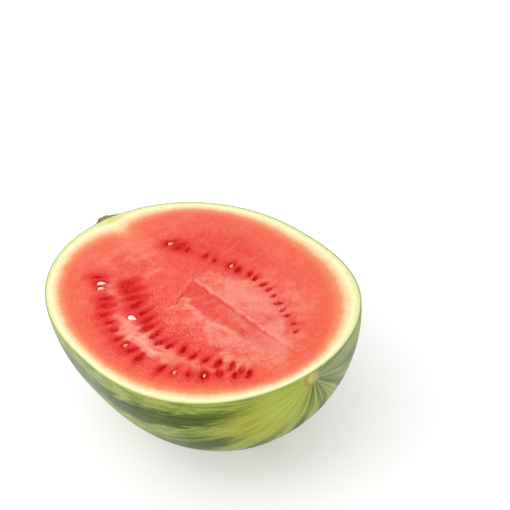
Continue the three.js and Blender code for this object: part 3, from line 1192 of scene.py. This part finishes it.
def stub_mesh(stalk):
    """The half of the stalk's stub, ribbed at its end and flared where it runs into the rind."""
    around, rings = 40, 14
    points, faces = [], []
    for i in range(rings + 1):
        share = i / rings
        x = -HALF_LENGTH - STUB_REACH + share * stalk.run / MM
        lean = share * stalk.lean / MM
        below = 0.15 + 0.8 * share
        for j in range(around + 1):
            turn = math.pi * j / around
            radius = stalk.neck / MM + stalk.flare / MM * min(1.6 * share, 1) ** 1.7
            radius *= 1 - 0.10 * (1 - share) * (0.5 + 0.5 * math.cos(8 * turn))
            radius += 0.25 * math.sin(5 * turn + 9 * share)
            points.append((x, lean - radius * math.cos(turn), -below - radius * math.sin(turn)))
    step = around + 1
    for i in range(rings):
        for j in range(around):
            a = i * step + j
            faces.append((a, a + 1, a + step + 1, a + step))
    faces.append(tuple(range(around, -1, -1)))
    faces.append(tuple(rings * step + j for j in range(step)))
    top = [i * step for i in range(rings + 1)] + [i * step + around for i in range(rings, -1, -1)]
    faces.append(tuple(top))
    mesh = bpy.data.meshes.new("stalk_stub")
    mesh.from_pydata(on_part(points).tolist(), [], faces)
    bm = bmesh.new()
    bm.from_mesh(mesh)
    bmesh.ops.recalc_face_normals(bm, faces=bm.faces)
    bm.to_mesh(mesh)
    bm.free()
    return mesh


class MELON_OT_stalk(bpy.types.Operator):
    """Build the stub of stalk, cut through with the fruit"""

    bl_idname = "melon.stalk"
    bl_label = "Stalk stub"

    def execute(self, context):
        stalk = context.scene.melon_stalk
        stub = show("stalk_stub", stub_mesh(stalk), stalk_finish(stalk))
        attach(stub, "root")
        return {"FINISHED"}


def pale_room(settings):
    world = bpy.data.worlds.new("pale_room")
    world.use_nodes = True
    world.node_tree.nodes["Background"].inputs["Color"].default_value = (1, 1, 1, 1)
    world.node_tree.nodes["Background"].inputs["Strength"].default_value = settings.sky
    return world


def pale_floor(settings):
    mesh = bpy.data.meshes.new("floor")
    mesh.from_pydata([(-4, -4, 0), (4, -4, 0), (4, 4, 0), (-4, 4, 0)], [], [(0, 1, 2, 3)])
    glow = {"Emission Color": (1, 1, 1, 1), "Emission Strength": settings.table}
    pale = {"Base Color": (0.66, 0.66, 0.66, 1), "Roughness": 0.9}
    return show("floor", mesh, Finish("pale_floor").finished({**pale, **glow}))


def soft_light(name, place, size, watts):
    """A round light that points at the fruit."""
    lamp = bpy.data.lights.new(name, "AREA")
    lamp.shape, lamp.size, lamp.energy = "DISK", size, watts
    holder = bpy.data.objects.new(name, lamp)
    holder.location = place
    holder.rotation_euler = (Vector((0, 0, 0.06)) - place).to_track_quat("-Z", "Y").to_euler()
    return holder


def photo_camera(focal, right, up, back, place):
    lens = bpy.data.cameras.new("camera")
    lens.lens, lens.sensor_width = focal, 36.0
    eye = bpy.data.objects.new("camera", lens)
    eye.matrix_world = Matrix((right, up, back)).transposed().to_4x4()
    eye.location = place
    return eye


class MELON_OT_stage(bpy.types.Operator):
    """Set up the pale floor, the soft light and the camera"""

    bl_idname = "melon.stage"
    bl_label = "Stage"

    def execute(self, context):
        scene = context.scene
        settings = scene.melon_stage
        scene.view_settings.view_transform = "Standard"
        scene.world = pale_room(settings)
        pale_floor(settings)
        right, up, back, place = camera_axes()
        overhead = -right * 0.4 + back * 0.2 + Vector((0, 0, 1.5))
        at_left = -right * 1.1 + back * 0.35 + Vector((0, 0, 0.75))
        scene.collection.objects.link(soft_light("key", overhead, 1.5, settings.key))
        scene.collection.objects.link(soft_light("side", at_left, 1.0, settings.side))
        scene.camera = photo_camera(settings.focal, right, up, back, place)
        scene.collection.objects.link(scene.camera)
        return {"FINISHED"}


def camera_axes():
    """The camera's right, up and back, and its place, from the view that the photo was taken from."""
    rise, azimuth, lean = math.radians(34.74), math.radians(53.78), math.radians(4.993)
    across, raised, away = 51.653, 20.746, 705.0
    right = Vector((1, 0, 0))
    up = Vector((0, math.sin(rise), math.cos(rise)))
    back = Vector((0, -math.cos(rise), math.sin(rise)))
    place = right * across + up * raised + back * away
    leaning_right = right * math.cos(lean) - up * math.sin(lean)
    leaning_up = right * math.sin(lean) + up * math.cos(lean)
    spin = Matrix.Rotation(azimuth, 3, "Z")
    place = Vector(on_part([tuple(spin @ place)])[0])
    return spin @ leaning_right, spin @ leaning_up, spin @ back, place


class MELON_PT_panel(bpy.types.Panel):
    """Lists the pieces of the halved melon"""

    bl_idname = "MELON_PT_panel"
    bl_label = "Watermelon half"
    bl_space_type = "VIEW_3D"
    bl_region_type = "UI"
    bl_category = "Melon"

    def draw(self, context):
        for operator, group in STEPS:
            box = self.layout.box()
            box.operator(operator)
            for name in group:
                settings = getattr(context.scene, name)
                for key in settings.bl_rna.properties.keys():
                    if key not in ("rna_type", "name"):
                        box.prop(settings, key)


GROUPS = {
    "melon_shape": MelonShape,
    "melon_cut": MelonCut,
    "melon_flesh": MelonFlesh,
    "melon_rind": MelonRind,
    "melon_skin": MelonSkin,
    "melon_seeds": MelonSeeds,
    "melon_stalk": MelonStalk,
    "melon_stage": MelonStage,
}
STEPS = (
    ("melon.body", ("melon_shape", "melon_cut", "melon_flesh", "melon_rind", "melon_skin")),
    ("melon.seeds", ("melon_seeds",)),
    ("melon.stalk", ("melon_stalk",)),
    ("melon.stage", ("melon_stage",)),
)
CLASSES = (*GROUPS.values(), MELON_OT_body, MELON_OT_seeds, MELON_OT_stalk, MELON_OT_stage, MELON_PT_panel)


def register():
    for entry in CLASSES:
        bpy.utils.register_class(entry)
    for name, group in GROUPS.items():
        setattr(bpy.types.Scene, name, PointerProperty(type=group))


def unregister():
    for name in GROUPS:
        delattr(bpy.types.Scene, name)
    for entry in reversed(CLASSES):
        bpy.utils.unregister_class(entry)


def main():
    register()
    bpy.ops.melon.body()
    bpy.ops.melon.seeds()
    bpy.ops.melon.stalk()
    bpy.ops.melon.stage()


if __name__ == "__main__":
    main()
